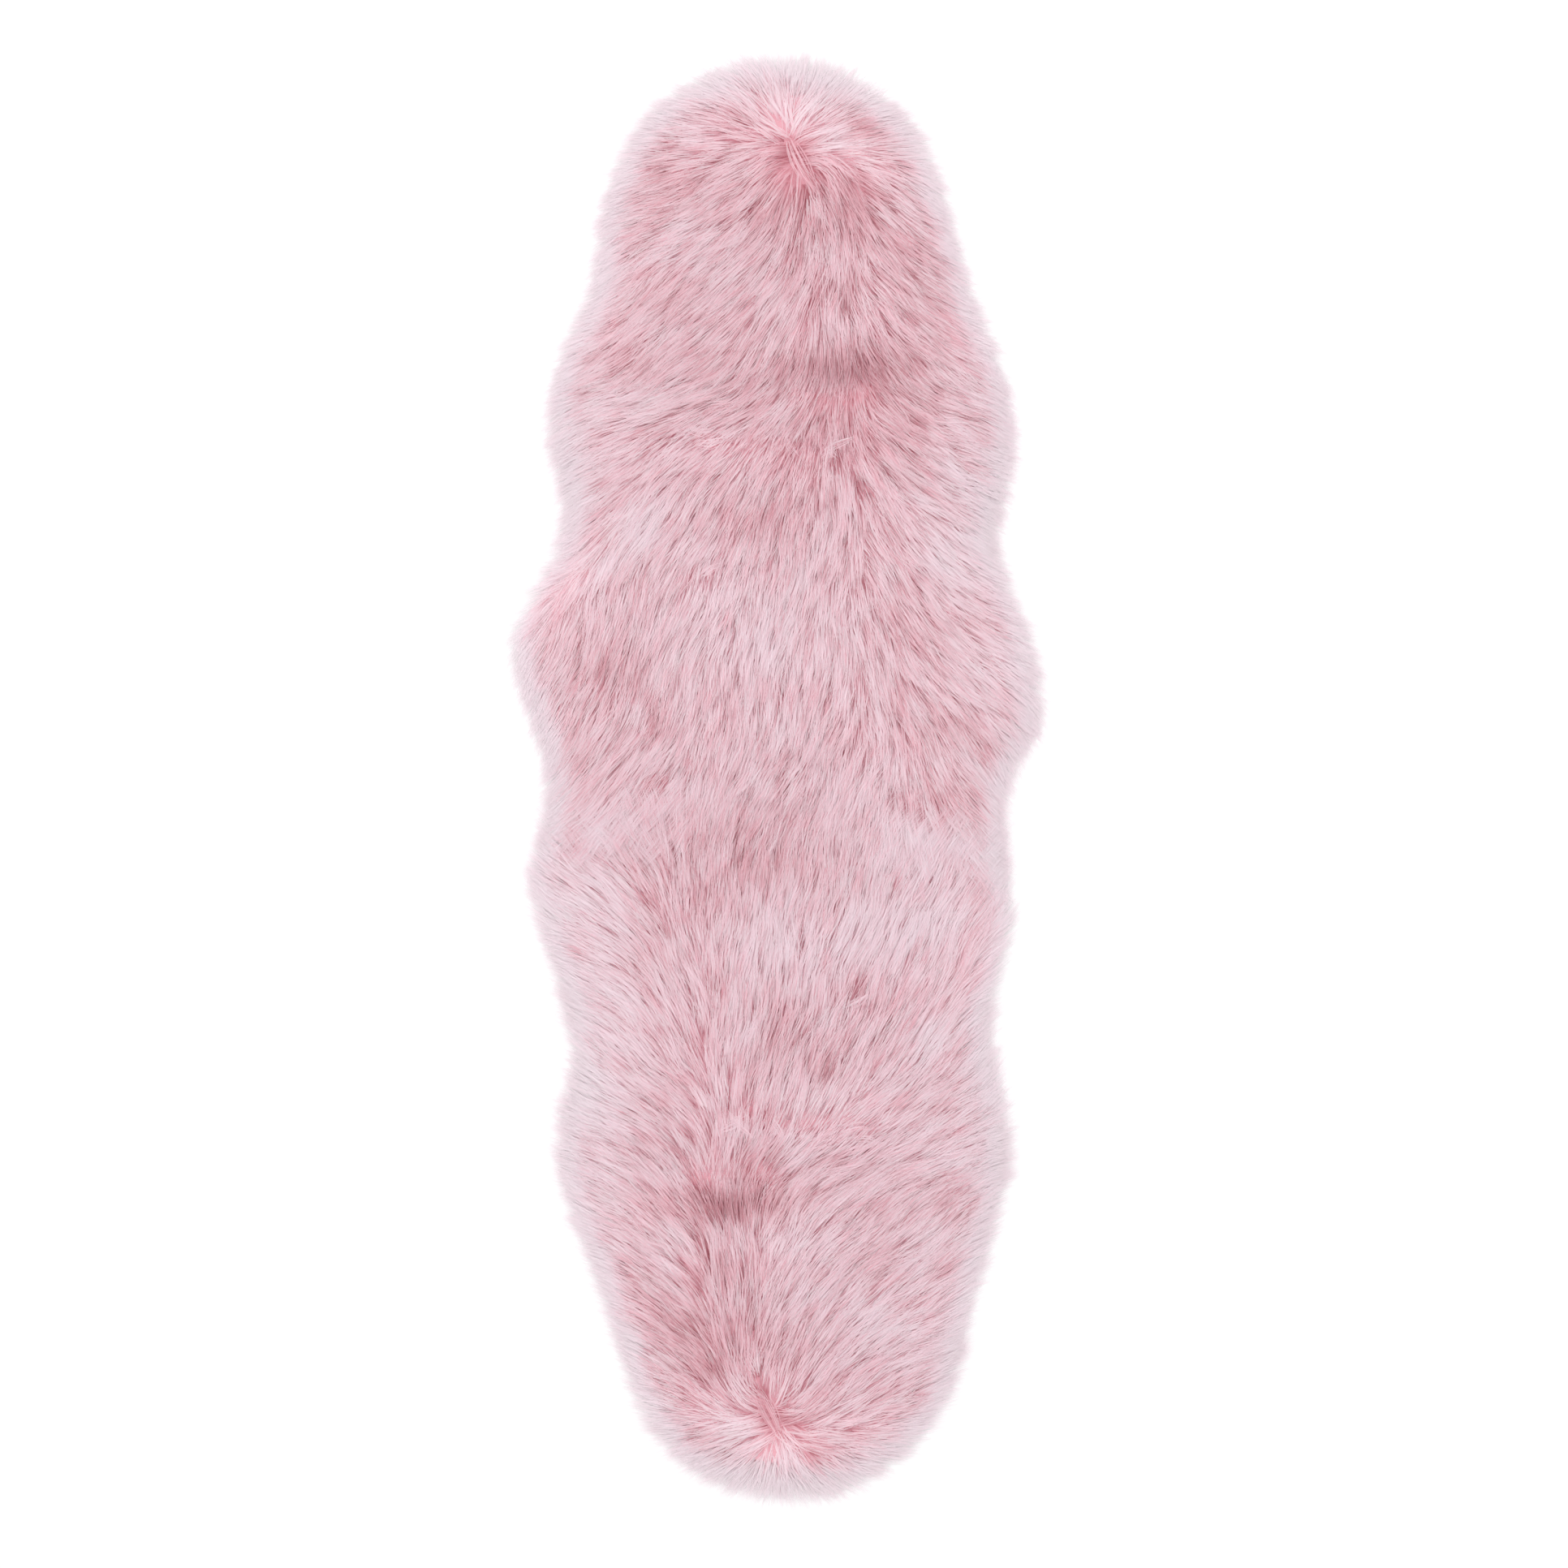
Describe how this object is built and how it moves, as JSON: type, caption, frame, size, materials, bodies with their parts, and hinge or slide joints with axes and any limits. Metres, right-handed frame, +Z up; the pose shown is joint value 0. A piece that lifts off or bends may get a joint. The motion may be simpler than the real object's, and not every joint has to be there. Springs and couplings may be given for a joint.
{
  "type": "shag rug",
  "caption": "Long-pile fur rug in the outline of two pelts joined end to end, lying flat, with combed tufts and a soft shaggy rim.",
  "frame": {"origin": "middle of the rug's length and width, on the floor that its underside rests on", "axes": "+Y along the rug's length towards the end whose whorl is drawn at the picture's top, +X to the picture's right, +Z up from the floor through the pile"},
  "size_m": [0.6616, 1.795, 0.0562],
  "materials": {
    "pink_fur": "long soft pile, matt with a silky sheen"
  },
  "bodies": {
    "root": {"fur_pile": "pink_fur"}
  },
  "joints": []
}
